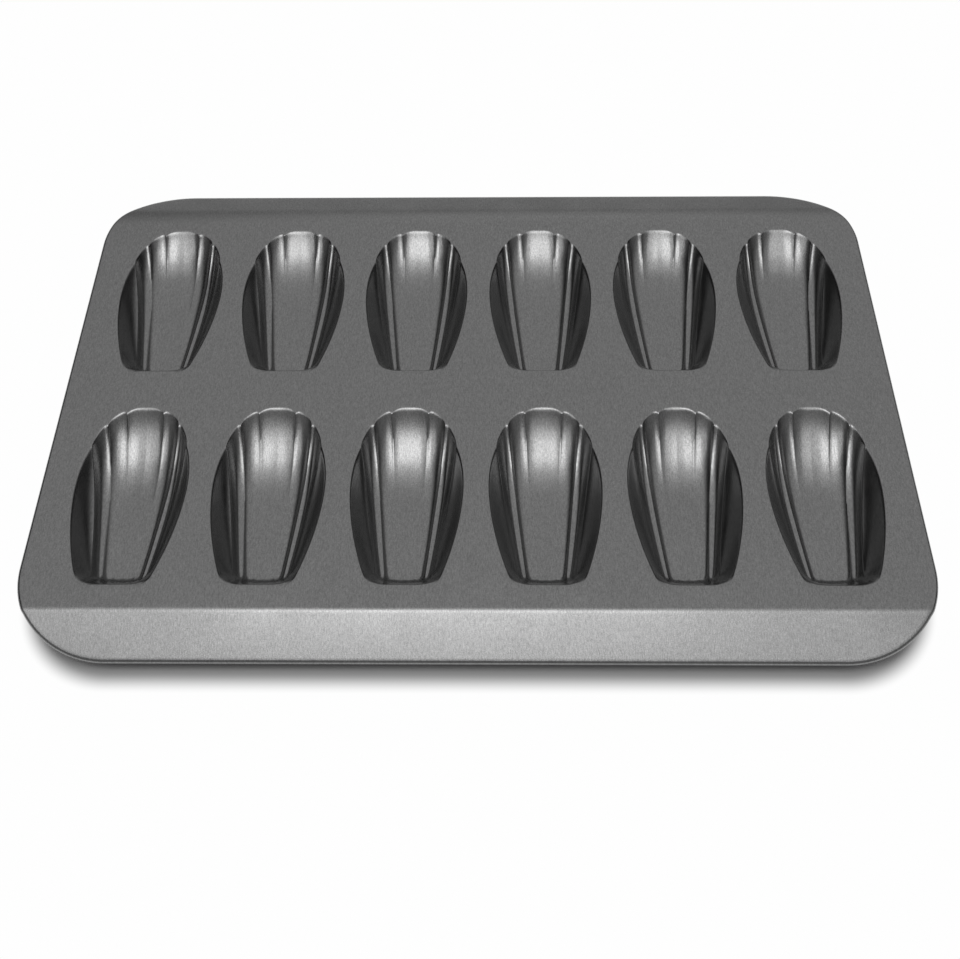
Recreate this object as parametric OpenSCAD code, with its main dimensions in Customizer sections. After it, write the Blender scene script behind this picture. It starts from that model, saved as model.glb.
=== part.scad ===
// Madeleine pan: a pressed, coated steel sheet with twelve fluted shell cups in two rows,
// a sloping flange along each long edge, and an edge rolled under round a steel wire.
// Millimetres. X runs along the width, +Y to the back, +Z up. The origin is under the
// middle of the pan, on the surface that the cups stand on.
// The press makes the deck, the cups and the flanges from one sheet. Here each is a solid
// of its own, and they meet face to face at the press lines.

/* [Pan] */
// Overall width, over the rolled edge
pan_w = 385; // [372:1:420]
// Overall depth, over the rolled edge
pan_d = 265; // [258:1:300]
// Radius of the corners, on the flat sheet
corner_r = 41.5; // [36:0.5:48]
// Thickness of the coated steel sheet
sheet = 0.6; // [0.4:0.1:0.9]

/* [Flanges] */
// Level run of each flange, from the crease to the outer edge
flange_run = 20.5; // [17:0.5:24]
// Slope of each flange below the deck, in degrees
flange_slope = 19; // [10:1:24]
// Radius of the crease, on the top of the sheet
bend_r = 8; // [3:1:12]

/* [Rolled edge] */
// Diameter of the wire inside the roll
wire_d = 2.1; // [1.6:0.1:3]
// Play between the wire and the roll
wire_play = 0.05; // [0.02:0.01:0.1]
// Angle of the roll that stays open, next to the sheet
roll_open = 65; // [55:5:120]

/* [Cup layout] */
// Cups in each row
columns = 6; // [4:1:6]
// Deck between two cups in a row
column_gap = 11.2; // [8:0.1:14]
// Deck between the outer cups and the side edges of the pan
side_border = 15.4; // [12:0.1:20]
// Deck between the crease of the front flange and the narrow ends of the front row
front_border = 11.5; // [8:0.1:16]
// Deck between the wide ends of the front row and the narrow ends of the back row
row_gap = 23.1; // [14:0.1:28]
// Deck between the wide ends of the back row and the crease of the back flange
back_border = 12.6; // [8:0.1:16]

/* [Cup outline] */
// Width of the narrow end
narrow_w = 26.8; // [24:0.1:30]
// Corner radius of the narrow end
narrow_r = 4; // [2:0.5:6]
// Where the cup is widest, from the narrow end
widest_at = 50; // [44:1:56]
// How far the outermost scallops of the wide end stand out between two ridges
scallop = 2.5; // [1:0.1:3]
// How far the two outer flutes stand out from the ridges beside them
side_bulge = 1.25; // [0.6:0.05:2]

/* [Cup hollow] */
// Depth below the deck
cup_depth = 14.4; // [11:0.2:16]
// Distance from the narrow end back to the point where the ridges would meet
ridge_origin = 73; // [60:1:90]
// Where the outermost ridge runs at the widest place, as a share of the way to the rim
ridge_share = 0.785; // [0.74:0.005:0.81]
// How deep the outermost flute between two ridges is. The flutes nearer the middle are shallower.
flute_depth = 1.45; // [0.8:0.05:1.6]
// How deep the flute between the outermost ridge and the rim is
outer_flute_depth = 0.6; // [0.2:0.1:1]
// Slope of the narrow end wall, in degrees
wall_slope = 60; // [50:1:64]
// Where the floor starts to rise to the wide end
rise_from = 35; // [28:1:42]
// Width of the soft lip on each side of the cup's edge
lip = 1.3; // [0.8:0.1:1.6]

/* [Hidden] */
FRONT = 0;
BACK = 1;
$fn = 64;
coat = "#5d5e60";
coat_lit = "#8d8e90";
bare_steel = "#b9babb";
far = 500;
tiny = 0.0001;
halvings = 30;

// Heights and plan lines that everything else is set from
deck_z = cup_depth + sheet;
roll_r = wire_d / 2 + wire_play + sheet;
crease_y = pan_d / 2 - flange_run;
bend_t = bend_r * tan(flange_slope / 2);
// Length of the flange along its own slope, to the outer edge of the roll, to a hundredth
slope_run = (flange_run - roll_r + roll_r * sin(flange_slope)) / cos(flange_slope);
flange_l = round(100 * (slope_run + roll_r)) / 100;
// The flat sheet before the flanges are bent
flat_w = pan_w;
flat_d = 2 * (crease_y + flange_l);
corner_x = flat_w / 2 - corner_r;
corner_y = flat_d / 2 - corner_r;

// The cups share the deck that the borders and gaps leave. A cup's length is counted to the
// notches of its wide end, and its scallops reach a little past that.
cup_w = (pan_w - 2 * side_border - (columns - 1) * column_gap) / columns;
cup_l = (2 * crease_y - front_border - row_gap - back_border) / 2;
column_pitch = cup_w + column_gap;

// Shape of the cup that is the same for every cup
narrow_half = narrow_w / 2;
body_half = cup_w / 2 - side_bulge;
wide_power = 2.25;
narrow_power = 1.9;
cross_power = 2.85;
rise_power = 2.8;
floor_blend = 3;
bulge_run = 6;
bulge_power = 0.8;
scallop_from = 55;
soft_start = 12;
outside = -1;
// The hollow aims a little lower than the flat that its floor ends on
floor_z = cup_depth + 0.4;

// The ridges on each side of the middle one: the angle of the last, and shares of it for the others
last_ridge = atan(ridge_share * body_half / (widest_at + ridge_origin));
ridge_shares = [0, 0.354, 0.709, 1];
inner_ridges = len(ridge_shares) - 1;
share_of_step = [for (i = [0 : inner_ridges]) [i, ridge_shares[i]]];
step_of_share = [for (i = [0 : inner_ridges]) [ridge_shares[i], i]];

// How fine the cup is: steps across a flute and along the outer flute, and where the rings
// lie between the lip and the middle of the floor
flute_steps = 3;
side_steps = 10;
corner_steps = 2;
rings = [0.15, 0.38, 0.66];
core_v = 26;
bend_steps = 8;
wire_joint = 0.05;

function lobe(t) = 4 * t * (1 - t);
function arch(t) = 1 - abs(2 * t - 1) ^ 5;
function fold(t) = 2.6 * t * (1 - t * t);
function blend_min(a, b, k) = let (h = max(k - abs(a - b), 0) / k) min(a, b) - h * h * k / 4;

// Half width of the smooth cup, without its scallops, at the distance v from the narrow end
function corner_cut(v) = v < narrow_r ? narrow_r - sqrt(max(0, narrow_r ^ 2 - (narrow_r - v) ^ 2)) : 0;
function wide_at(v) =
    body_half * (1 - ((v - widest_at) / (cup_l - widest_at)) ^ wide_power) ^ (1 / wide_power);
function taper_at(v) =
    body_half - (body_half - narrow_half) * ((widest_at - v) / widest_at) ^ narrow_power - corner_cut(v);
function body_at(v) = v >= cup_l ? 0 : v > widest_at ? wide_at(v) : taper_at(max(v, 0));

// Places in the fan, counted in flutes from the middle, as angles and back
function fan_angle(step) = sign(step) * last_ridge * lookup(abs(step), share_of_step);
function fan_step(angle) = lookup(angle / last_ridge, step_of_share);

// The outermost ridge, and the notch where it meets the rim
function on_ridge(a, v) = [(v + ridge_origin) * tan(a), v];
function ridge_at(v) = on_ridge(last_ridge, v)[0];
function find_notch(low, high, n) =
    let (mid = (low + high) / 2)
    n == 0 ? mid
    : ridge_at(mid) < body_at(mid) ? find_notch(mid, high, n - 1)
    : find_notch(low, mid, n - 1);
notch_v = find_notch(widest_at, cup_l, halvings);
function side_at(v) =
    let (t = min(1, max(0, (notch_v - v) / (notch_v - widest_at + bulge_run))))
    body_at(v) + side_bulge * sin(90 * t) ^ bulge_power;

// Depth of the smooth cup below the deck. It is negative outside the rim.
function length_depth(v) =
    v <= 0 ? v * tan(wall_slope)
    : blend_min(
        v * tan(wall_slope),
        floor_z * (1 - (max(0, v - rise_from) / (cup_l - rise_from)) ^ rise_power),
        floor_blend
    );
function body_depth(u, v) =
    v >= cup_l || body_at(v) <= 0 ? outside
    : let (d = length_depth(v)) d > 0 ? d * (1 - (u / body_at(v)) ^ cross_power) : d;

// Depth with the flutes, at u across and v along the cup. The two flutes in the middle share one
// wide scallop.
function inner_depth(u, v) =
    let (
        angle = atan2(u, v + ridge_origin),
        step = fan_step(angle),
        flute = min(inner_ridges - 1, floor(step)),
        t = step - flute,
        growth = (flute + 1) / inner_ridges,
        scallop_t = flute == 0 ? (1 + step) / 2 : t,
        reach = norm([u, v + ridge_origin]),
        start = ridge_origin + scallop_from,
        stretch = 1 + sqrt(growth) * scallop / (cup_l - scallop_from) * arch(scallop_t),
        r = reach > start ? start + (reach - start) / stretch : reach,
        d = body_depth(r * sin(angle), r * cos(angle) - ridge_origin)
    )
    d + flute_depth * growth ^ 2 * fold(t) * min(1, max(0, d) / soft_start);
function outer_depth(u, v) =
    v > notch_v || body_at(v) <= ridge_at(v) ? outside
    : let (
        ridge = ridge_at(v),
        t = (u - ridge) / (side_at(v) - ridge),
        d = body_depth(ridge + t * (body_at(v) - ridge), v)
    )
    d + outer_flute_depth * lobe(min(t, 1)) * min(1, max(0, d) / soft_start);
function depth(u, v) =
    min(cup_depth, abs(u) > ridge_at(v) ? outer_depth(abs(u), v) : inner_depth(abs(u), v));

// Where a line of the fan meets the rim, at the wide end and at the narrow end
function in_fan(a, reach) = [reach * sin(a), reach * cos(a) - ridge_origin];
function find_rim(a, low, high, n) =
    let (mid = (low + high) / 2, p = in_fan(a, mid))
    n == 0 ? in_fan(a, low)
    : depth(p[0], p[1]) > 0 ? find_rim(a, mid, high, n - 1)
    : find_rim(a, low, mid, n - 1);
function wide_rim(a) =
    find_rim(a, ridge_origin + widest_at, ridge_origin + cup_l + 2 * scallop, halvings);
function find_start(a, low, high, n) =
    let (mid = (low + high) / 2)
    n == 0 ? low
    : on_ridge(a, mid)[0] > body_at(mid) ? find_start(a, mid, high, n - 1)
    : find_start(a, low, mid, n - 1);
function start_at(a) = find_start(abs(a), 0, narrow_r, halvings);
start_v = start_at(last_ridge);
function flip(p) = [-p[0], p[1]];
function reverse(list) = [for (i = [len(list) - 1:-1:0]) list[i]];

// The rim, clockwise from the left outer notch, with the core point that each place leads to
fan_end = inner_ridges * flute_steps;
fan = [for (i = [-fan_end : fan_end]) fan_angle(i / flute_steps)];
wide_part = [for (a = fan) wide_rim(a - sign(a) * tiny)];
straight_steps = side_steps - corner_steps - 1;
straight_side = [for (i = [1 : straight_steps])
    let (v = notch_v + (narrow_r - notch_v) * i / straight_steps) [side_at(v), v]];
round_corner = [for (i = [1 : corner_steps])
    let (v = start_v + (narrow_r - start_v) * (1 - sin(90 * i / corner_steps))) [side_at(v), v]];
right_part = concat(straight_side, round_corner);
narrow_part = [for (a = reverse(fan)) on_ridge(a, start_at(a))];
left_part = [for (p = reverse(right_part)) flip(p)];
rim = concat(wide_part, right_part, narrow_part, left_part);
core = [for (a = fan) on_ridge(a, core_v)];
last = len(fan) - 1;
core_index = concat(
    [for (i = [0 : last]) i],
    [for (p = right_part) last],
    [for (i = [0 : last]) last - i],
    [for (p = left_part) 0]
);
sides = len(rim);

// Outward direction at each place of the rim, and the points from the deck to the floor
function unit(p) = p / norm(p);
function outward(i) =
    let (d = rim[(i + 1) % sides] - rim[(i + sides - 1) % sides]) unit([-d[1], d[0]]);
most_start = 0.2;
least_drop = 0.3;
function inward_path(i, share) =
    let (
        path = core[core_index[i]] - rim[i],
        start = min(most_start, lip / max(least_drop, -path * outward(i)))
    )
    rim[i] + path * (start + (1 - start) * share);
function at_depth(p) = [p[0], p[1], -depth(p[0], p[1])];
edge_ring = [for (i = [0 : sides - 1]) let (p = rim[i] + lip * outward(i)) [p[0], p[1], 0]];
wall_rings = [for (share = concat([0], rings)) [for (i = [0 : sides - 1]) at_depth(inward_path(i, share))]];
core_ring = [for (p = core) at_depth(p)];

// The underside lies one sheet below the hollow, square to its surface
slope_step = 0.1;
function sheet_below(p) =
    let (
        du = (depth(p[0] + slope_step, p[1]) - depth(p[0] - slope_step, p[1])) / (2 * slope_step),
        dv = (depth(p[0], p[1] + slope_step) - depth(p[0], p[1] - slope_step)) / (2 * slope_step),
        n = unit([-du, -dv, -1])
    )
    p + sheet * n;
top_points = concat(edge_ring, [for (ring = wall_rings) each ring], core_ring);
under_points = concat(
    [for (p = edge_ring) p - [0, 0, sheet]],
    [for (ring = wall_rings) for (p = ring) sheet_below(p)],
    [for (p = core_ring) sheet_below(p)]
);
under = len(top_points);
bands = len(wall_rings) + 1;
function point_index(ring, i) =
    ring < bands ? ring * sides + i % sides : bands * sides + core_index[i % sides];
top_faces = [for (ring = [0 : bands - 1]) for (i = [0 : sides - 1])
    let (
        a = point_index(ring, i),
        b = point_index(ring, i + 1),
        c = point_index(ring + 1, i + 1),
        d = point_index(ring + 1, i)
    )
    each concat([[a, b, c]], c == d ? [] : [[a, c, d]])];
under_faces = [for (f = top_faces) [f[2] + under, f[1] + under, f[0] + under]];
wall_faces = [for (i = [0 : sides - 1])
    let (j = (i + 1) % sides) each [[i, i + under, j + under], [i, j + under, j]]];
cup_points = concat(top_points, under_points);
cup_faces = concat(top_faces, under_faces, wall_faces);

function cup_x(column) = (column - (columns - 1) / 2) * column_pitch;
function cup_y(row) = front_border - crease_y + (row == FRONT ? 0 : cup_l + row_gap);

// One cup, with its narrow end to the front
module cup(column, row) {
    color(row == FRONT ? coat : coat_lit)
        translate([cup_x(column), cup_y(row), deck_z])
            polyhedron(points = cup_points, faces = cup_faces);
}

// The flat sheet with its rounded corners, drawn in by the inset
module flat_outline(inset) {
    square([flat_w - 2 * inset, 2 * corner_y], center = true);
    square([2 * corner_x, flat_d - 2 * inset], center = true);
    for (x = [-corner_x, corner_x], y = [-corner_y, corner_y])
        translate([x, y]) circle(corner_r - inset);
}

module deck() {
    color(coat)
        translate([0, 0, deck_z - sheet])
            difference() {
                linear_extrude(sheet)
                    intersection() {
                        flat_outline(roll_r);
                        square([flat_w, 2 * (crease_y - bend_t)], center = true);
                    }
                for (column = [0 : columns - 1], row = [FRONT, BACK])
                    translate([cup_x(column), cup_y(row), -sheet])
                        linear_extrude(3 * sheet)
                            polygon([for (p = edge_ring) [p[0], p[1]]]);
            }
}

// Turns flat sheet that lies behind the back crease down to the slope of the flange
module bend_down() {
    translate([0, crease_y, deck_z])
        rotate([-flange_slope, 0, 0]) translate([0, -crease_y, -deck_z]) children();
}

// Everything on one side of the mitre through the back crease, and a little past it
module behind_crease(past = 0) {
    translate([0, crease_y, deck_z])
        rotate([-flange_slope / 2, 0, 0]) translate([-far, -past, -far]) cube(2 * far);
}
module before_crease(past = 0) {
    translate([0, crease_y, deck_z])
        rotate([-flange_slope / 2, 0, 0]) translate([-far, past - 2 * far, -far]) cube(2 * far);
}

// The back flange in section, in Y and Z: round the crease, then straight down the slope
function bend_arc(r) = [for (i = [0 : bend_steps]) let (a = flange_slope * i / bend_steps)
    [crease_y - bend_t + r * sin(a), deck_z - bend_r + r * cos(a)]];
flange_end = [crease_y, deck_z] + (flange_l - roll_r) * [cos(flange_slope), -sin(flange_slope)];
flange_section = concat(
    bend_arc(bend_r),
    [flange_end, flange_end - sheet * [sin(flange_slope), cos(flange_slope)]],
    reverse(bend_arc(bend_r - sheet))
);
module flange() {
    intersection() {
        translate([-flat_w / 2, 0, 0]) rotate([90, 0, 90]) linear_extrude(flat_w) polygon(flange_section);
        bend_down() linear_extrude(2 * deck_z) flat_outline(roll_r);
    }
}
module back_flange() { color(coat_lit) flange(); }
module front_flange() { color(coat_lit) mirror([0, 1, 0]) flange(); }

// The rolled edge in section: the sheet goes over the wire, down and back under. X points
// outwards, and the origin is the outermost top corner of the flat sheet.
module roll_section() {
    translate([-roll_r, -roll_r])
        difference() {
            circle(roll_r);
            circle(roll_r - sheet);
            polygon([
                [0, 0],
                [0, 2 * roll_r],
                [-2 * roll_r, 2 * roll_r],
                2 * roll_r * [-1, tan(90 - roll_open)]
            ]);
        }
}
module wire_section() { translate([-roll_r, -roll_r]) circle(wire_d / 2); }

// A section carried round the back right corner of the flat sheet
module round_the_corner() {
    translate([corner_x, corner_y, deck_z])
        rotate_extrude(angle = 90) translate([corner_r, 0]) children();
}
// The same along the right edge, and round its two corners
module along_side() {
    translate([flat_w / 2, corner_y, deck_z]) rotate([90, 0, 0]) linear_extrude(2 * corner_y) children();
    for (m = [0, 1]) mirror([0, m, 0]) round_the_corner() children();
}
// The same along the back edge
module along_back() {
    translate([-corner_x, flat_d / 2, deck_z]) rotate([90, 0, 90]) linear_extrude(2 * corner_x) children();
    for (m = [0, 1]) mirror([m, 0, 0]) round_the_corner() children();
}

module side_roll(past = 0) {
    intersection() {
        along_side() children();
        before_crease(past);
        mirror([0, 1, 0]) before_crease(past);
    }
}
module back_roll(past = 0) {
    intersection() {
        bend_down() along_back() children();
        behind_crease(past);
    }
}
module right_rim() { color(coat) side_roll() roll_section(); }
module left_rim() { color(coat) mirror([1, 0, 0]) side_roll() roll_section(); }
module back_rim() { color(coat) back_roll() roll_section(); }
module front_rim() { color(coat) mirror([0, 1, 0]) back_roll() roll_section(); }

// One closed loop of wire inside the roll
module rim_wire() {
    color(bare_steel) {
        for (m = [0, 1]) mirror([m, 0, 0]) side_roll(wire_joint) wire_section();
        for (m = [0, 1]) mirror([0, m, 0]) back_roll(wire_joint) wire_section();
    }
}

deck();
front_flange();
back_flange();
left_rim();
right_rim();
front_rim();
back_rim();
rim_wire();
for (i = [1:columns]) cup(i - 1, FRONT);
for (i = [1:columns]) cup(i - 1, BACK);
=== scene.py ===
# %% [markdown]
# # A madeleine pan of coated steel
# The pan is one pressed sheet: a flat deck with twelve shell cups, two sloping flanges and an edge
# that is rolled under round a wire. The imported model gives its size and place, and this script
# gives it its looks. Everything is in metres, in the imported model's own frame.

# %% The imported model
import math

import bmesh
import bpy
import numpy as np
from mathutils import Matrix, Vector

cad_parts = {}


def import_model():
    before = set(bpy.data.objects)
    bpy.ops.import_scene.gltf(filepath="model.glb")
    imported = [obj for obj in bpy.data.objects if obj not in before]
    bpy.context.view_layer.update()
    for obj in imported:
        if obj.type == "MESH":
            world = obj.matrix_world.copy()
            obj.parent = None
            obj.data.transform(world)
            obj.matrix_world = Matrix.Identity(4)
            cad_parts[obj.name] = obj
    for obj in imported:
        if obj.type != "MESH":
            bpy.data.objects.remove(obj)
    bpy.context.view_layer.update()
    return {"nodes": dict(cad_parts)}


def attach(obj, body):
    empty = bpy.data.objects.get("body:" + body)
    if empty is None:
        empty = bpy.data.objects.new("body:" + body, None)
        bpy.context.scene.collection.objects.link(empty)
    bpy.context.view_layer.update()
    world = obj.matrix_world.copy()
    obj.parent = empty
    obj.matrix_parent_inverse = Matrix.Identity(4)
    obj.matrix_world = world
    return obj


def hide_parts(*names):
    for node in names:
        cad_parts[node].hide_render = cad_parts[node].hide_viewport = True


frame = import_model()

MM = 0.001

# %% [markdown]
# ## Camera
# A photograph is matched best from its own viewpoint. The camera's place, tilt and lens were worked
# out from the pan's edges and cup rows, which are at known places. It stands low in front of the
# pan and looks down at about 58 degrees.

# %% The camera
DECK_TOP = 15 * MM
FRAME_WIDTH_PX = 960
camera_place = Vector((9.1 * MM, -298.8 * MM, DECK_TOP + 405.2 * MM))
pitch, yaw, roll = math.radians(58.364), math.radians(-1.685), math.radians(-1.418)
focal_px = 1081.5

ahead = Vector((math.sin(yaw) * math.cos(pitch), math.cos(yaw) * math.cos(pitch), -math.sin(pitch)))
level = Vector((math.cos(yaw), -math.sin(yaw), 0))
upward = level.cross(ahead)
right = math.cos(roll) * level + math.sin(roll) * upward
up = -math.sin(roll) * level + math.cos(roll) * upward
turn = Matrix((right, up, -ahead)).transposed().to_4x4()

camera_data = bpy.data.cameras.new("camera")
camera_data.sensor_fit = "HORIZONTAL"
camera_data.sensor_width = 36
camera_data.lens = focal_px / FRAME_WIDTH_PX * camera_data.sensor_width
camera = bpy.data.objects.new("camera", camera_data)
camera.matrix_world = Matrix.Translation(camera_place) @ turn
bpy.context.scene.collection.objects.link(camera)
bpy.context.scene.camera = camera
print("lens, in mm:", round(camera_data.lens, 2))

# %% [markdown]
# ## Two helpers
# Every material here is a set of nodes. One small function adds a node with its settings and its
# links. Another turns a colour that is written as sRGB hex, as on a screen, into the linear values
# that the renderer works with.

# %% The helpers


def node(tree, kind, inputs=None, **settings):
    """Adds one node. Each input is a value, or a socket to link from."""
    new = tree.nodes.new(kind)
    for name, value in settings.items():
        setattr(new, name, value)
    for key, value in (inputs or {}).items():
        if isinstance(value, bpy.types.NodeSocket):
            tree.links.new(value, new.inputs[key])
        else:
            new.inputs[key].default_value = value
    return new


def linear(hex_colour):
    """A colour such as #5d5e60 as linear red, green, blue and alpha."""
    parts = [int(hex_colour[i : i + 2], 16) / 255 for i in (1, 3, 5)]
    return [c / 12.92 if c <= 0.04045 else ((c + 0.055) / 1.055) ** 2.4 for c in parts] + [1]


# %% [markdown]
# ## The coating
# The sheet is coated with a non-stick finish: a sprayed and baked resin with fine metal flakes. The
# flakes make it shine like a dull metal, dark grey from one side and nearly white under the lamp.

# %% Coated steel
def new_material(name):
    material = bpy.data.materials.new(name)
    material.use_nodes = True
    material.node_tree.nodes.clear()
    return material, material.node_tree


coated_steel, tree = new_material("flaked_nonstick_coating")
FLAKE = 0.45 * MM
STREAK = 4
CLOUD = 22 * MM
place = node(tree, "ShaderNodeTexCoord").outputs["Object"]
grain = node(tree, "ShaderNodeTexNoise", {"Vector": place, "Scale": 1 / FLAKE, "Detail": 2}).outputs[0]
drawn = node(tree, "ShaderNodeMapping", {"Vector": place, "Scale": (1, 1 / STREAK, 1 / STREAK)}).outputs[0]
streaks = node(tree, "ShaderNodeTexNoise", {"Vector": drawn, "Scale": 1 / FLAKE, "Detail": 2}).outputs[0]
speckle = node(tree, "ShaderNodeMath", {0: grain, 1: streaks}, operation="ADD").outputs[0]
speckle = node(tree, "ShaderNodeMapRange", {"Value": speckle, "From Min": 0.62, "From Max": 1.38}).outputs[0]
cloud = node(tree, "ShaderNodeTexNoise", {"Vector": place, "Scale": 1 / CLOUD, "Detail": 3}).outputs[0]
shade = node(
    tree,
    "ShaderNodeMix",
    {"Factor": speckle, "A": linear("#6f6f6f"), "B": linear("#909090")},
    data_type="RGBA",
).outputs["Result"]
rough = node(
    tree,
    "ShaderNodeMapRange",
    {"Value": cloud, "From Min": 0.35, "From Max": 0.65, "To Min": 0.2, "To Max": 0.26},
).outputs[0]
bump = node(tree, "ShaderNodeBump", {"Height": speckle, "Strength": 0.22, "Distance": 0.03 * MM}).outputs[0]
shine = node(
    tree,
    "ShaderNodeBsdfPrincipled",
    {"Base Color": shade, "Metallic": 1.0, "Roughness": rough, "Normal": bump},
)
node(tree, "ShaderNodeOutputMaterial", {"Surface": shine.outputs[0]})

bare_wire, tree = new_material("drawn_steel_wire")
place = node(tree, "ShaderNodeTexCoord").outputs["Object"]
draw = node(tree, "ShaderNodeTexNoise", {"Vector": place, "Scale": 900, "Detail": 2})
rough = node(tree, "ShaderNodeMapRange", {"Value": draw.outputs[0], "To Min": 0.28, "To Max": 0.5})
shine = node(
    tree,
    "ShaderNodeBsdfPrincipled",
    {"Base Color": linear("#b9babb"), "Metallic": 1.0, "Roughness": rough.outputs[0]},
)
node(tree, "ShaderNodeOutputMaterial", {"Surface": shine.outputs[0]})

for name, part in frame["nodes"].items():
    for slot in part.material_slots:
        slot.material = bare_wire if name == "rim_wire" else coated_steel

# %% [markdown]
# ## The sizes of the pan
# These are the pan's own sizes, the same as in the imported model, so each piece lands on the solids
# that it stands for. Lengths are written in millimetres and turned to metres where they are used.

# %% Sizes, in millimetres
PAN_W, PAN_D, CORNER_R, SHEET = 385, 265, 41.5, 0.6
FLANGE_RUN, FLANGE_SLOPE = 20.5, math.radians(19)
FRONT_BEND_R, BACK_BEND_R = 8, 40
WIRE_D, WIRE_PLAY, ROLL_OPEN = 2.1, 0.05, math.radians(65)
COLUMNS, COLUMN_PITCH, FRONT_BORDER, ROW_GAP = 6, 60.9, 11.5, 23.1
CUP_L, CUP_W, CUP_DEPTH = 88.4, 49.7, 14.4
NARROW_W, NARROW_R, WIDEST_AT = 26.8, 4, 50
SCALLOP, SIDE_BULGE, SCALLOP_FROM = 2.5, 1.25, 55
HINGE = 73
RIDGE_SHARE = 0.785
FLUTE_DEPTH, OUTER_FLUTE_DEPTH, SOFT_START = 1.45, 0.6, 12
WALL_SLOPE, FLOOR_BLEND, RISE_FROM = math.radians(60), 3, 35
WIDE_POWER, NARROW_POWER, CROSS_POWER, RISE_POWER = 2.25, 1.9, 2.85, 2.8
BULGE_RUN, BULGE_POWER = 6, 0.8
FLOOR_Z = CUP_DEPTH + 0.4
BODY_HALF, NARROW_HALF = CUP_W / 2 - SIDE_BULGE, NARROW_W / 2
LAST_RIDGE = math.atan(RIDGE_SHARE * BODY_HALF / (WIDEST_AT + HINGE))
RIDGES = LAST_RIDGE * np.array([0, 0.354, 0.709, 1])

ROLL_R = WIRE_D / 2 + WIRE_PLAY + SHEET
CREASE_Y = PAN_D / 2 - FLANGE_RUN
flange_run_inside = FLANGE_RUN - ROLL_R + ROLL_R * math.sin(FLANGE_SLOPE)
FLANGE_L = round(flange_run_inside / math.cos(FLANGE_SLOPE) + ROLL_R, 2)
CORNER_X, CORNER_Y = PAN_W / 2 - CORNER_R, CREASE_Y + FLANGE_L - CORNER_R

# %% [markdown]
# ## A cup without its flutes
# A madeleine cup is a shell: wide and scalloped at one end, narrow and straight at the other. Under
# the flutes lies a smooth hollow, and that is laid out first as a grid of points. The grid's lines
# fan out from a hinge point in front of the narrow end, exactly where the flutes will run, so that
# every ridge falls on a line of points and stays clean. Each point keeps its depth as an attribute,
# negative outside the rim, and the points on the two outer flutes keep how far across they are.

# %% The smooth hollow


def half_width(v):
    """Half the width of the smooth hollow, at the distance v from its narrow end."""
    past = np.clip((v - WIDEST_AT) / (CUP_L - WIDEST_AT), 0, 1)
    wide = BODY_HALF * (1 - past**WIDE_POWER) ** (1 / WIDE_POWER)
    short = np.clip((WIDEST_AT - v) / WIDEST_AT, 0, 1)
    corner = np.clip(NARROW_R - v, 0, NARROW_R)
    cut = NARROW_R - np.sqrt(NARROW_R**2 - corner**2)
    return np.where(v > WIDEST_AT, wide, BODY_HALF - (BODY_HALF - NARROW_HALF) * short**NARROW_POWER - cut)


def soft_min(a, b, blend):
    """The smaller of two depths, with the corner between them rounded."""
    mix = np.clip(blend - np.abs(a - b), 0, None) / blend
    return np.minimum(a, b) - mix**2 * blend / 4


def smooth_depth(u, v):
    """Depth of the smooth hollow below the deck, negative outside it."""
    wall = v * math.tan(WALL_SLOPE)
    level = FLOOR_Z * (1 - np.clip((v - RISE_FROM) / (CUP_L - RISE_FROM), 0, 1) ** RISE_POWER)
    along = np.where(v <= 0, wall, soft_min(wall, level, FLOOR_BLEND))
    width = np.maximum(half_width(v), 1e-6)
    return np.where(along > 0, along * (1 - np.minimum(np.abs(u) / width, 1) ** CROSS_POWER), along)


def bisect(inside, low, high):
    """The place between low and high where inside() stops being true."""
    for _ in range(50):
        middle = (low + high) / 2
        low, high = (middle, high) if inside(middle) else (low, middle)
    return (low + high) / 2


def ridge_line(v):
    return (v + HINGE) * math.tan(LAST_RIDGE)


NOTCH_V = bisect(lambda v: ridge_line(v) < half_width(v), WIDEST_AT, CUP_L)


def wide_rim(angle):
    """Distance from the hinge to the smooth outline of the wide end."""

    def inside(reach):
        v = reach * math.cos(angle) - HINGE
        return v < CUP_L and abs(reach * math.sin(angle)) < half_width(v)

    return bisect(inside, HINGE + WIDEST_AT, HINGE + CUP_L + 1)


def near_rim(angle):
    """Distance from the hinge to the rim of the narrow end."""

    def before(reach):
        v = reach * math.cos(angle) - HINGE
        return v < 0 or abs(reach * math.sin(angle)) > half_width(v)

    return bisect(before, HINGE * 0.9, HINGE + WIDEST_AT)


START_V = near_rim(LAST_RIDGE) * math.cos(LAST_RIDGE) - HINGE
ACROSS_FLUTE = np.array([0, 0.05, 0.13, 0.24, 0.37, 0.5, 0.63, 0.76, 0.87, 0.95])
near_end = [0, 0.06, 0.14, 0.28, 0.5, 0.8, 1.15, 1.6, 2.1, 2.7, 3.4, 4, 5, 6.2, 7.5, 9, 10.6, 12.4, 14.5]
far_end = [0, 0.25, 0.5, 0.75, 1, 1.35, 1.8, 2.4, 3.2, 4.2, 5.4, 6.8, 8.4]
ROWS_RUN = 80
middle_rows = np.linspace(16.8, ROWS_RUN - 10.4, 23)
rows = np.concatenate([near_end, middle_rows, ROWS_RUN - np.array(far_end[::-1])]) / ROWS_RUN
flute_steps = np.concatenate([ACROSS_FLUTE + i for i in range(-3, 3)] + [[3]])
side_steps = np.array([0.06, 0.16, 0.28, 0.4, 0.5, 0.6, 0.7, 0.78, 0.84, 0.89, 0.93, 0.965, 1])

points, across = [], []


def keep(u, v, share=0):
    """Stores one point of the cup and returns its number."""
    points.append((u, v))
    across.append(share)
    return len(points) - 1


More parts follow.
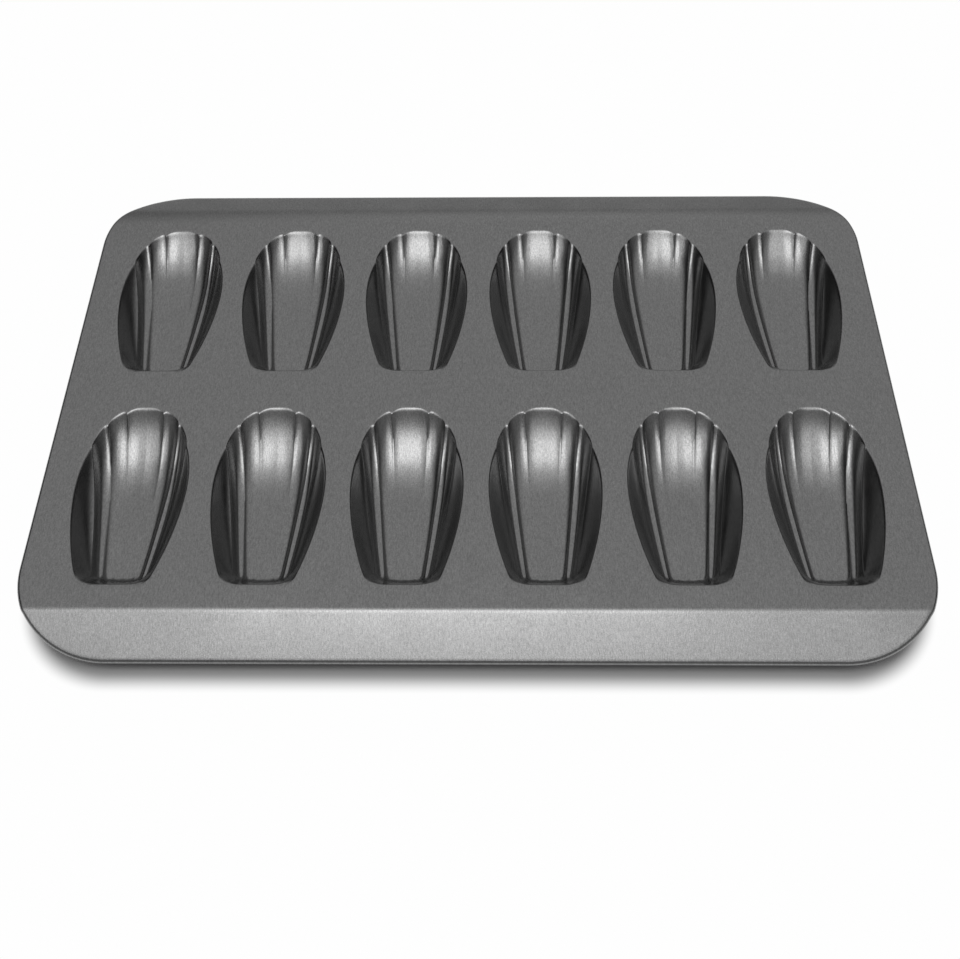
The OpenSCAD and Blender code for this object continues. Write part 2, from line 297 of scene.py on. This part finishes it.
columns = []
for side in (-1, 1):
    outer = []
    for share in side_steps:
        v = START_V + rows[1:-1] * (NOTCH_V - START_V)
        u = ridge_line(v) + share * (half_width(v) - ridge_line(v))
        outer.append([keep(side * a, b, share) for a, b in zip(u, v)])
    columns.append(outer)
fan = []
for step in flute_steps:
    angle = math.copysign(np.interp(abs(step), range(4), RIDGES), step)
    first, last = near_rim(angle), wide_rim(angle)
    reach = first + rows * (last - first)
    fan.append([keep(r * math.sin(angle), r * math.cos(angle) - HINGE) for r in reach])
left = [[fan[0][0]] + column + [fan[0][-1]] for column in columns[0][::-1]]
right = [[fan[-1][0]] + column + [fan[-1][-1]] for column in columns[1]]
grid = left + fan + right
faces = []
for a, b in zip(grid, grid[1:]):
    for j in range(len(rows) - 1):
        corner = [a[j], b[j], b[j + 1], a[j + 1]]
        faces.append([k for i, k in enumerate(corner) if k != corner[i - 1]])
print("points in one hollow:", len(points), "faces:", len(faces))

# %% [markdown]
# ## The lip
# The press leaves no sharp edge: the deck rolls over into each cup. So the grid goes on a little way
# past the rim, straight out from it. The points there get a depth below zero, as steep as the wall
# that they carry on, and the next step rounds off everything near zero.

# %% Points round the rim
LIP_STEPS = (0.25, 0.5, 0.75, 1.05, 1.4, 1.9)
BRIM = 2.8
FLAT_DEPTH = -5
around = [column[0] for column in fan] + right[-1][1:-1]
around += [column[-1] for column in fan[::-1]] + left[0][-2:0:-1]
rim = np.array([points[k] for k in around])
along_rim = np.roll(rim, -1, axis=0) - np.roll(rim, 1, axis=0)
outwards = np.stack([along_rim[:, 1], -along_rim[:, 0]], axis=1)
outwards /= np.linalg.norm(outwards, axis=1)[:, None]
just_inside = rim - 0.3 * outwards
wall_slope = np.clip(smooth_depth(just_inside[:, 0], just_inside[:, 1]) / 0.3, 0.6, 1.6)

depth = list(smooth_depth(*np.array(points).T))
for k in around:
    depth[k] = 0
ring = around
for reach in LIP_STEPS + (BRIM,):
    wider = []
    for k, place, slope in zip(around, rim + reach * outwards, wall_slope):
        wider.append(keep(*place, across[k]))
        depth.append(FLAT_DEPTH if reach == BRIM else -slope * reach)
    for i in range(len(ring)):
        j = (i + 1) % len(ring)
        faces.append([ring[i], wider[i], wider[j], ring[j]])
    ring = wider
brim_ring = ring

# %% [markdown]
# ## Pressing the flutes
# The flutes follow one rule, so a Geometry Nodes tree presses them into the smooth hollow. The angle
# about the hinge says which flute a point is in and how far across it, t. Two curves are nought at
# both ridges of a flute: a fold, steeper on its outer side, deepens the flute, and a flat-topped
# arch draws the wide end out into a scallop. Both grow from the middle of the cup towards its sides,
# and the two flutes in the middle share one wide scallop. Outside the last ridge the side wall is a
# flute too, with a low hump of its own. Each row of the table below is one Math node. The same tree
# then sets a row of cups side by side, so one table of sizes makes both rows of the pan.

# %% A tree for pressed shell cups


def new_tree(name, sizes):
    """An empty Geometry Nodes tree with one named input for each size. Returns its input sockets."""
    tree = bpy.data.node_groups.new(name, "GeometryNodeTree")
    tree.interface.new_socket("Geometry", in_out="INPUT", socket_type="NodeSocketGeometry")
    for label, value in sizes.items():
        kind = "NodeSocketInt" if isinstance(value, int) else "NodeSocketFloat"
        kind = "NodeSocketMaterial" if isinstance(value, bpy.types.Material) else kind
        tree.interface.new_socket(label, in_out="INPUT", socket_type=kind)
    tree.interface.new_socket("Geometry", in_out="OUTPUT", socket_type="NodeSocketGeometry")
    return tree, node(tree, "NodeGroupInput").outputs


def run_tree(name, mesh, tree, sizes):
    """Runs a tree on a mesh and returns the result as an object with a plain mesh."""
    maker = bpy.data.objects.new(name, mesh)
    bpy.context.scene.collection.objects.link(maker)
    modifier = maker.modifiers.new("tree", "NODES")
    modifier.node_group = tree
    for item in tree.interface.items_tree:
        if item.in_out == "INPUT" and item.name in sizes:
            modifier[item.identifier] = sizes[item.name]
    return plain(maker)


def plain(maker):
    """Swaps an object's mesh for the evaluated one and takes its modifiers off."""
    evaluated = maker.evaluated_get(bpy.context.evaluated_depsgraph_get())
    result = bpy.data.meshes.new_from_object(evaluated)
    maker.modifiers.clear()
    maker.data = result
    result.name = maker.name
    return maker


cup_sizes = {
    "Hinge distance": HINGE * MM,
    "Inner ridge": RIDGES[2],
    "Last ridge": LAST_RIDGE,
    "Flute depth": FLUTE_DEPTH * MM,
    "Outer flute depth": OUTER_FLUTE_DEPTH * MM,
    "Scallops from": (HINGE + SCALLOP_FROM) * MM,
    "Scallop": SCALLOP / (CUP_L - SCALLOP_FROM),
    "Side bulge": SIDE_BULGE * MM,
    "Bulge from": NOTCH_V * MM,
    "Bulge run": (NOTCH_V - WIDEST_AT + BULGE_RUN) * MM,
    "Bulge power": BULGE_POWER,
    "Soft start": SOFT_START * MM,
    "Cup depth": CUP_DEPTH * MM,
    "Floor softness": 0.5 * MM,
    "Lip softness": 1.4 * MM,
    "Cups": COLUMNS,
    "Pitch": COLUMN_PITCH * MM,
    "Row start": 0.0,
    "Deck height": DECK_TOP,
    "Material": coated_steel,
}
cup_tree, size = new_tree("pressed_shell_cups", cup_sizes)
place = node(cup_tree, "GeometryNodeInputPosition").outputs[0]
axes = node(cup_tree, "ShaderNodeSeparateXYZ", {0: place}).outputs
named = {label: size[label] for label in cup_sizes}
for label in ("depth", "across"):
    named[label] = node(cup_tree, "GeometryNodeInputNamedAttribute", {"Name": label}).outputs[0]
named |= {"x": axes["X"], "y": axes["Y"]}
SHELL_RULE = (
    ("along", "ADD", "y", "Hinge distance"),
    ("angle", "ARCTAN2", "x", "along"),
    ("turned", "ABSOLUTE", "angle"),
    ("twice across", "DIVIDE", "turned", "Inner ridge"),
    ("inner share", "MINIMUM", "twice across", 1),
    ("last width", "SUBTRACT", "Last ridge", "Inner ridge"),
    ("past inner", "SUBTRACT", "turned", "Inner ridge"),
    ("outer share", "DIVIDE", "past inner", "last width"),
    ("outer low", "MAXIMUM", "outer share", 0),
    ("flute", "MULTIPLY_ADD", "inner share", 2, "outer low"),
    ("whole flutes", "FLOOR", "flute"),
    ("flute number", "ADD", "whole flutes", 1),
    ("flute share", "DIVIDE", "flute number", 3),
    ("growth", "SQRT", "flute share"),
    ("side t", "FRACT", "flute"),
    ("middle t", "MULTIPLY_ADD", "flute", 0.5, 0.5),
    ("to the middle", "SUBTRACT", "middle t", "side t"),
    ("in the middle", "LESS_THAN", "flute", 1),
    ("t", "MULTIPLY_ADD", "in the middle", "to the middle", "side t"),
    ("in fan", "LESS_THAN", "turned", "Last ridge"),
    ("twice t", "MULTIPLY_ADD", "t", 2, -1),
    ("off middle", "ABSOLUTE", "twice t"),
    ("steepened", "POWER", "off middle", 5),
    ("arch", "SUBTRACT", 1, "steepened"),
    ("fan arch", "MULTIPLY", "arch", "in fan"),
    ("grown arch", "MULTIPLY", "fan arch", "growth"),
    ("x squared", "MULTIPLY", "x", "x"),
    ("reach squared", "MULTIPLY_ADD", "along", "along", "x squared"),
    ("reach", "SQRT", "reach squared"),
    ("past start", "SUBTRACT", "reach", "Scallops from"),
    ("past", "MAXIMUM", "past start", 0),
    ("scallop", "MULTIPLY", "grown arch", "Scallop"),
    ("drawn out", "MULTIPLY", "past", "scallop"),
    ("share out", "DIVIDE", "drawn out", "reach"),
    ("x scalloped", "MULTIPLY_ADD", "x", "share out", "x"),
    ("y scalloped", "MULTIPLY_ADD", "along", "share out", "y"),
    ("to the notch", "SUBTRACT", "Bulge from", "y"),
    ("bulge share", "DIVIDE", "to the notch", "Bulge run"),
    ("bulge low", "MAXIMUM", "bulge share", 0),
    ("bulge held", "MINIMUM", "bulge low", 1),
    ("bulge turn", "MULTIPLY", "bulge held", math.pi / 2),
    ("bulge sine", "SINE", "bulge turn"),
    ("bulge grown", "POWER", "bulge sine", "Bulge power"),
    ("bulge", "MULTIPLY", "bulge grown", "Side bulge"),
    ("side", "SIGN", "x"),
    ("bulge out", "MULTIPLY", "bulge", "across"),
    ("new x", "MULTIPLY_ADD", "bulge out", "side", "x scalloped"),
    ("rest across", "SUBTRACT", 1, "across"),
    ("half outer", "MULTIPLY", "across", "rest across"),
    ("outer hump", "MULTIPLY", "half outer", 4),
    ("cubed share", "POWER", "flute share", 3),
    ("fold growth", "MULTIPLY_ADD", "cubed share", 0.925, 0.075),
    ("t squared", "MULTIPLY", "side t", "side t"),
    ("rest of square", "SUBTRACT", 1, "t squared"),
    ("half fold", "MULTIPLY", "side t", "rest of square"),
    ("fan fold", "MULTIPLY", "half fold", "in fan"),
    ("fold", "MULTIPLY", "fan fold", 2.6),
    ("grown fold", "MULTIPLY", "fold", "fold growth"),
    ("fan flute", "MULTIPLY", "grown fold", "Flute depth"),
    ("all flutes", "MULTIPLY_ADD", "outer hump", "Outer flute depth", "fan flute"),
    ("start", "DIVIDE", "depth", "Soft start"),
    ("start low", "MAXIMUM", "start", 0),
    ("soft", "MINIMUM", "start low", 1),
    ("fluted", "MULTIPLY_ADD", "all flutes", "soft", "depth"),
    ("on the floor", "SMOOTH_MIN", "fluted", "Cup depth", "Floor softness"),
    ("rounded over", "SMOOTH_MAX", "on the floor", 0, "Lip softness"),
    ("new z", "MULTIPLY", "rounded over", -1),
)
for label, operation, *terms in SHELL_RULE:
    terms = {i: named.get(term, term) for i, term in enumerate(terms)}
    named[label] = node(cup_tree, "ShaderNodeMath", terms, operation=operation, label=label).outputs[0]
pressed_at = {"X": named["new x"], "Y": named["y scalloped"], "Z": named["new z"]}
pressed = node(cup_tree, "ShaderNodeCombineXYZ", pressed_at).outputs[0]
shell = node(cup_tree, "GeometryNodeSetPosition", {"Geometry": size["Geometry"], "Position": pressed})
gaps = node(cup_tree, "ShaderNodeMath", {0: size["Cups"], 1: 1}, operation="SUBTRACT").outputs[0]
row_length = node(cup_tree, "ShaderNodeMath", {0: gaps, 1: size["Pitch"]}, operation="MULTIPLY").outputs[0]
first_x = node(cup_tree, "ShaderNodeMath", {0: row_length, 1: -0.5}, operation="MULTIPLY").outputs[0]
row_start = {"X": first_x, "Y": size["Row start"], "Z": size["Deck height"]}
start = node(cup_tree, "ShaderNodeCombineXYZ", row_start).outputs[0]
stride = node(cup_tree, "ShaderNodeCombineXYZ", {"X": size["Pitch"]}).outputs[0]
row_line = {"Count": size["Cups"], "Start Location": start, "Offset": stride}
line = node(cup_tree, "GeometryNodeMeshLine", row_line, mode="OFFSET").outputs[0]
copies = {"Points": line, "Instance": shell.outputs[0]}
row = node(cup_tree, "GeometryNodeInstanceOnPoints", copies).outputs[0]
real = node(cup_tree, "GeometryNodeRealizeInstances", {"Geometry": row}).outputs[0]
smooth = node(cup_tree, "GeometryNodeSetShadeSmooth", {"Geometry": real}).outputs[0]
finish = {"Geometry": smooth, "Material": size["Material"]}
coated = node(cup_tree, "GeometryNodeSetMaterial", finish).outputs[0]
node(cup_tree, "NodeGroupOutput", {0: coated})

# %% Both rows of cups
one_cup = bpy.data.meshes.new("smooth_hollow")
one_cup.from_pydata([(u * MM, v * MM, 0) for u, v in points], [], faces)
for label, values in (("depth", np.array(depth) * MM), ("across", np.array(across))):
    one_cup.attributes.new(label, "FLOAT", "POINT").data.foreach_set("value", values)

rows_of_cups, holes = {}, []
front_row_y = FRONT_BORDER - CREASE_Y
for label, first_y in (("front", front_row_y), ("back", front_row_y + CUP_L + ROW_GAP)):
    cups = run_tree(f"{label}_row_cups", one_cup, cup_tree, cup_sizes | {"Row start": first_y * MM})
    places = np.array([corner.co for corner in cups.data.vertices]).reshape(COLUMNS, len(points), 3)
    holes += [cup[brim_ring] for cup in places]
    rows_of_cups[label] = cups


def give_thickness(piece):
    """Turns a single skin into sheet, with the new side on the inside, and shades its flat ends flat."""
    skin = piece.modifiers.new("sheet", "SOLIDIFY")
    skin.thickness = SHEET * MM
    skin.offset = -1
    skin.use_even_offset = False
    plain(piece)
    piece.data.set_sharp_from_angle(angle=math.radians(50))
    print(piece.name, "has", len(piece.data.polygons), "faces")


for label, cups in rows_of_cups.items():
    give_thickness(cups)
    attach(cups, "root")
    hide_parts(*[f"cup_{label}_{i + 1}" for i in range(COLUMNS)])

# %% [markdown]
# ## The deck and its flanges
# The rest of the sheet is flat but for a gentle bend along each long side, a clear crease in front
# and a wide soft curve at the back, where the photograph shows no line. Its outline is drawn
# flat, as the blank was, and one small function carries a point from the flat blank to the bent
# sheet. The flanges are strips of quads from row to row, and the deck between them is filled round
# the twelve holes.

# %% Deck and flanges
STRIP = 1
EDGE_INSET = ROLL_R + STRIP
BEND_STEPS = 12


def bend(y):
    """Radius of the bend on this side of the blank, and where it starts and ends."""
    radius = BACK_BEND_R if y > 0 else FRONT_BEND_R
    half = radius * math.tan(FLANGE_SLOPE / 2)
    return radius, CREASE_Y - half, CREASE_Y + half


def bent(y, down=0):
    """Where a distance y from the middle of the blank ends up: y, z and the sheet's upward normal."""
    radius, start, end = bend(y)
    turned = FLANGE_SLOPE * min(max((abs(y) - start) / (end - start), 0), 1)
    if turned == 0:
        across_y, z = abs(y), DECK_TOP / MM
    elif turned < FLANGE_SLOPE:
        across_y = start + radius * math.sin(turned)
        z = DECK_TOP / MM - radius * (1 - math.cos(turned))
    else:
        run = abs(y) - CREASE_Y
        across_y = CREASE_Y + run * math.cos(turned)
        z = DECK_TOP / MM - run * math.sin(turned)
    side = math.copysign(1, y)
    up_y, up_z = math.sin(turned), math.cos(turned)
    return side * (across_y - down * up_y), z - down * up_z, side * up_y, up_z


def half_span(y, inset):
    """Half the width of the blank at the distance y from its middle, drawn in by the inset."""
    past = max(abs(y) - CORNER_Y, 0)
    radius = CORNER_R - inset
    return CORNER_X + math.sqrt(max(radius**2 - past**2, 0))


def corner_rows(side, inset):
    """Distances from the middle of the blank: closely spaced in the bend and round the corner."""
    radius = CORNER_R - inset
    turn = [CORNER_Y + radius * math.sin(math.radians(a)) for a in range(0, 91, 3)]
    _, start, end = bend(side)
    creased = [start + (end - start) * i / BEND_STEPS for i in range(BEND_STEPS + 1)]
    creased = [start - STRIP] + creased + [end + STRIP]
    return sorted([y for y in turn if not start - STRIP - 0.5 < y < end + STRIP + 0.5] + creased)


FLANGE_COLUMNS = 16
sheet = bmesh.new()
ends, flat_rows = {}, {}
for side in (1, -1):
    y_rows = corner_rows(side, EDGE_INSET)
    first_row = y_rows.index(bend(side)[1] - STRIP)
    flat_rows[side] = y_rows[:first_row]
    strips = []
    for y in y_rows[first_row:]:
        half = half_span(y, EDGE_INSET)
        real_y, z, _, _ = bent(side * y)
        spots = [side * half * (2 * i / FLANGE_COLUMNS - 1) for i in range(FLANGE_COLUMNS + 1)]
        strips.append([sheet.verts.new((x * MM, real_y * MM, z * MM)) for x in spots])
    for a, b in zip(strips, strips[1:]):
        for i in range(FLANGE_COLUMNS):
            sheet.faces.new((a[i], a[i + 1], b[i + 1], b[i]))
    ends[side] = strips[0]
side_rows = [-y for y in flat_rows[-1][::-1]] + flat_rows[1]
outline = {}
for side in (1, -1):
    spots = [(side * half_span(y, EDGE_INSET), y, DECK_TOP / MM) for y in side_rows[::side]]
    outline[side] = [sheet.verts.new([value * MM for value in spot]) for spot in spots]
loops = [outline[1] + ends[1][::-1] + outline[-1] + ends[-1][::-1]]
loops += [[sheet.verts.new(spot) for spot in hole] for hole in holes]
edges = []
for loop in loops:
    for a, b in zip(loop, loop[1:] + loop[:1]):
        edges.append(sheet.edges.get((a, b)) or sheet.edges.new((a, b)))
bmesh.ops.triangle_fill(sheet, edges=edges, use_beauty=True, normal=(0, 0, 1))
bmesh.ops.recalc_face_normals(sheet, faces=sheet.faces)
if sum(face.normal.z for face in sheet.faces) < 0:
    bmesh.ops.reverse_faces(sheet, faces=sheet.faces)
for face in sheet.faces:
    face.smooth = True
deck_mesh = bpy.data.meshes.new("deck_sheet")
sheet.to_mesh(deck_mesh)
sheet.free()
deck_mesh.materials.append(coated_steel)
deck_sheet = bpy.data.objects.new("deck_sheet", deck_mesh)
bpy.context.scene.collection.objects.link(deck_sheet)
give_thickness(deck_sheet)
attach(deck_sheet, "root")
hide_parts("deck", "front_flange", "back_flange")

# %% [markdown]
# ## The rolled edge
# The edge of the sheet is rolled under round a wire, which stiffens the pan and leaves no raw edge
# to cut a hand. It has the same section all the way round, so a Geometry Nodes tree sweeps that
# section along the path of the wire. The path carries the sheet's own upward direction, and so the
# roll tilts with each flange.

# %% A tree for the rolled edge
roll_sizes = {
    "Roll radius": ROLL_R * MM,
    "Wrap angle": 2 * math.pi - ROLL_OPEN,
    "Strip": STRIP * MM,
    "Steps": 30,
    "Material": coated_steel,
}
roll_tree, size = new_tree("rolled_edge", roll_sizes)
path = node(roll_tree, "GeometryNodeMeshToCurve", {0: size["Geometry"]}).outputs[0]
sheet_up = node(roll_tree, "GeometryNodeInputNamedAttribute", {"Name": "sheet_up"}, data_type="FLOAT_VECTOR")
tilted = {"Curve": path, "Normal": sheet_up.outputs[0]}
path = node(roll_tree, "GeometryNodeSetCurveNormal", tilted, mode="FREE").outputs[0]
arc_sizes = {
    "Resolution": size["Steps"],
    "Radius": size["Roll radius"],
    "Start Angle": 0,
    "Sweep Angle": size["Wrap angle"],
}
arc = node(roll_tree, "GeometryNodeCurveArc", arc_sizes, mode="RADIUS").outputs[0]
back = node(roll_tree, "ShaderNodeMath", {0: size["Strip"], 1: -1}, operation="MULTIPLY").outputs[0]
strip_start = node(roll_tree, "ShaderNodeCombineXYZ", {"X": size["Roll radius"], "Y": back}).outputs[0]
strip_end = node(roll_tree, "ShaderNodeCombineXYZ", {"X": size["Roll radius"]}).outputs[0]
strip_ends = {"Start": strip_start, "End": strip_end}
strip = node(roll_tree, "GeometryNodeCurvePrimitiveLine", strip_ends).outputs[0]
section = node(roll_tree, "GeometryNodeJoinGeometry", {0: arc})
roll_tree.links.new(strip, section.inputs[0])
sweep = {"Curve": path, "Profile Curve": section.outputs[0]}
swept = node(roll_tree, "GeometryNodeCurveToMesh", sweep).outputs[0]
merged = node(roll_tree, "GeometryNodeMergeByDistance", {"Geometry": swept, "Distance": 0.00001}).outputs[0]
smooth = node(roll_tree, "GeometryNodeSetShadeSmooth", {"Geometry": merged}).outputs[0]
finish = {"Geometry": smooth, "Material": size["Material"]}
coated = node(roll_tree, "GeometryNodeSetMaterial", finish).outputs[0]
node(roll_tree, "NodeGroupOutput", {0: coated})

# %% The rolled edge
back, front = [[(half_span(y, ROLL_R), y) for y in corner_rows(side, ROLL_R)] for side in (1, -1)]
flat_path = back + [(-x, y) for x, y in back[::-1]]
flat_path += [(-x, -y) for x, y in front] + [(x, -y) for x, y in front[::-1]]
spots, ups = [], []
for x, y in flat_path:
    real_y, z, up_y, up_z = bent(y, down=ROLL_R)
    spots.append((x * MM, real_y * MM, z * MM))
    ups.append((0, up_y, up_z))
steps = [(i, (i + 1) % len(spots)) for i in range(len(spots))]
wire_path = bpy.data.meshes.new("wire_path")
wire_path.from_pydata(spots, steps, [])
sheet_up = wire_path.attributes.new("sheet_up", "FLOAT_VECTOR", "POINT")
sheet_up.data.foreach_set("vector", np.array(ups).ravel())
rolled_edge = run_tree("rolled_edge", wire_path, roll_tree, roll_sizes)
give_thickness(rolled_edge)
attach(rolled_edge, "root")
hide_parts("left_rim", "right_rim", "front_rim", "back_rim")

# %% [markdown]
# ## Floor and light
# The pan stands on white paper. A wide softbox hangs over its front, brighter in the middle, and a
# faint strip lamp hangs behind it. The lamps hang at different heights, because a ray finds only one
# of two lamps that lie in the same plane. The coating mirrors the room too, so the room is light
# overhead, grey in front, dark low down at the sides, and has a pale wall at the back. Close to the
# pan, mostly in front, the paper is drawn grey. That grey is painted shade that deepens the pan's
# real shadow there. Further out the paper is seen as plain white.

# %% Floor, lamps and world
floor_mesh = bpy.data.meshes.new("floor")
FLOOR_HALF = 20
# Round the pan the paper is drawn grey, as painted shade that deepens its real shadow. That grey zone  is
# moved SHADOW_SHIFT mm forward and fades to white from SHADOW_FROM to SHADOW_TO mm past the  pan's outline.
SHADOW_SHIFT = 7
SHADOW_FROM = -6
SHADOW_TO = 3.5
corners = [(-FLOOR_HALF, -FLOOR_HALF, 0), (FLOOR_HALF, -FLOOR_HALF, 0)]
corners += [(FLOOR_HALF, FLOOR_HALF, 0), (-FLOOR_HALF, FLOOR_HALF, 0)]
floor_mesh.from_pydata(corners, [], [(0, 1, 2, 3)])
floor = bpy.data.objects.new("floor", floor_mesh)
bpy.context.scene.collection.objects.link(floor)
white_paper_and_painted_shade, tree = new_material("white_paper_and_painted_shade")
place = node(tree, "ShaderNodeTexCoord").outputs["Object"]
nearer = (0, SHADOW_SHIFT * MM, 0)
moved = node(tree, "ShaderNodeVectorMath", {0: place, 1: nearer}, operation="ADD").outputs[0]
folded = node(tree, "ShaderNodeVectorMath", {0: moved}, operation="ABSOLUTE").outputs[0]
edge = ((PAN_W / 2 - CORNER_R) * MM, (PAN_D / 2 - CORNER_R) * MM, 0)
past = node(tree, "ShaderNodeVectorMath", {0: folded, 1: edge}, operation="SUBTRACT").outputs[0]
past = node(tree, "ShaderNodeVectorMath", {0: past, 1: (0, 0, 0)}, operation="MAXIMUM").outputs[0]
away = node(tree, "ShaderNodeVectorMath", {0: past}, operation="LENGTH").outputs["Value"]
open_floor = node(
    tree,
    "ShaderNodeMapRange",
    {"Value": away, "From Min": (CORNER_R + SHADOW_FROM) * MM, "From Max": (CORNER_R + SHADOW_TO) * MM},
    interpolation_type="SMOOTHSTEP",
).outputs[0]
rays = node(tree, "ShaderNodeLightPath").outputs
looks = {0: rays["Is Camera Ray"], 1: rays["Is Glossy Ray"]}
seen = node(tree, "ShaderNodeMath", looks, operation="ADD").outputs[0]
share = node(tree, "ShaderNodeMath", {0: open_floor, 1: seen}, operation="MULTIPLY").outputs[0]
# This grey paper, seen only close to the pan and mostly in front, is painted shade under the pan's real
# shadow.
painted_shade_paper = node(tree, "ShaderNodeBsdfDiffuse", {"Color": linear("#a8a8a8")})
glow = node(tree, "ShaderNodeEmission", {"Color": linear("#fefefe"), "Strength": 1.0})
paper = node(tree, "ShaderNodeMixShader", {0: share, 1: painted_shade_paper.outputs[0], 2: glow.outputs[0]})
node(tree, "ShaderNodeOutputMaterial", {"Surface": paper.outputs[0]})
floor_mesh.materials.append(white_paper_and_painted_shade)


def soft_lamp(name, place, aim, size, watts):
    """One rectangular area lamp that faces a point."""
    data = bpy.data.lights.new(name, "AREA")
    data.shape = "RECTANGLE"
    data.size, data.size_y = size
    data.energy = watts
    lamp = bpy.data.objects.new(name, data)
    lamp.location = place
    lamp.rotation_euler = (Vector(aim) - Vector(place)).to_track_quat("-Z", "Y").to_euler()
    bpy.context.scene.collection.objects.link(lamp)


soft_lamp("softbox", (-0.31, -0.26, 1), (-0.31, -0.26, 0), (1.84, 0.44), 3.05)
soft_lamp("softbox_middle", (-0.06, -0.185, 0.97), (-0.06, -0.185, 0), (0.6, 0.33), 1.05)
soft_lamp("back_strip", (-0.02, 0.05, 0.98), (-0.02, 0.05, 0), (1.2, 0.2), 0.4)

world = bpy.data.worlds.new("studio")
world.use_nodes = True
tree = world.node_tree
tree.nodes.clear()
way = node(tree, "ShaderNodeTexCoord").outputs["Generated"]
lightest = (0.1, 0.3, 1)
lean = node(tree, "ShaderNodeVectorMath", {0: way, 1: lightest}, operation="DOT_PRODUCT").outputs["Value"]
wall = node(
    tree,
    "ShaderNodeMapRange",
    {"Value": lean, "From Min": 0.53, "From Max": 0.8, "To Min": 0.02, "To Max": 0.65},
).outputs[0]
back = node(tree, "ShaderNodeVectorMath", {0: way, 1: (0, 1, 0)}, operation="DOT_PRODUCT").outputs["Value"]
behind = node(
    tree,
    "ShaderNodeMapRange",
    {"Value": back, "From Min": 0.8, "From Max": 0.95, "To Min": 0, "To Max": 0.36},
).outputs[0]
front = node(
    tree,
    "ShaderNodeMapRange",
    {"Value": back, "From Min": 0.25, "From Max": -0.25, "To Min": 0, "To Max": 0.32},
).outputs[0]
wall = node(tree, "ShaderNodeMath", {0: wall, 1: front}, operation="MAXIMUM").outputs[0]
strength = node(tree, "ShaderNodeMath", {0: wall, 1: behind}, operation="ADD").outputs[0]
dim = node(tree, "ShaderNodeBackground", {"Color": linear("#ffffff"), "Strength": strength})
node(tree, "ShaderNodeOutputWorld", {"Surface": dim.outputs[0]})
bpy.context.scene.world = world
bpy.context.scene.view_settings.view_transform = "Standard"
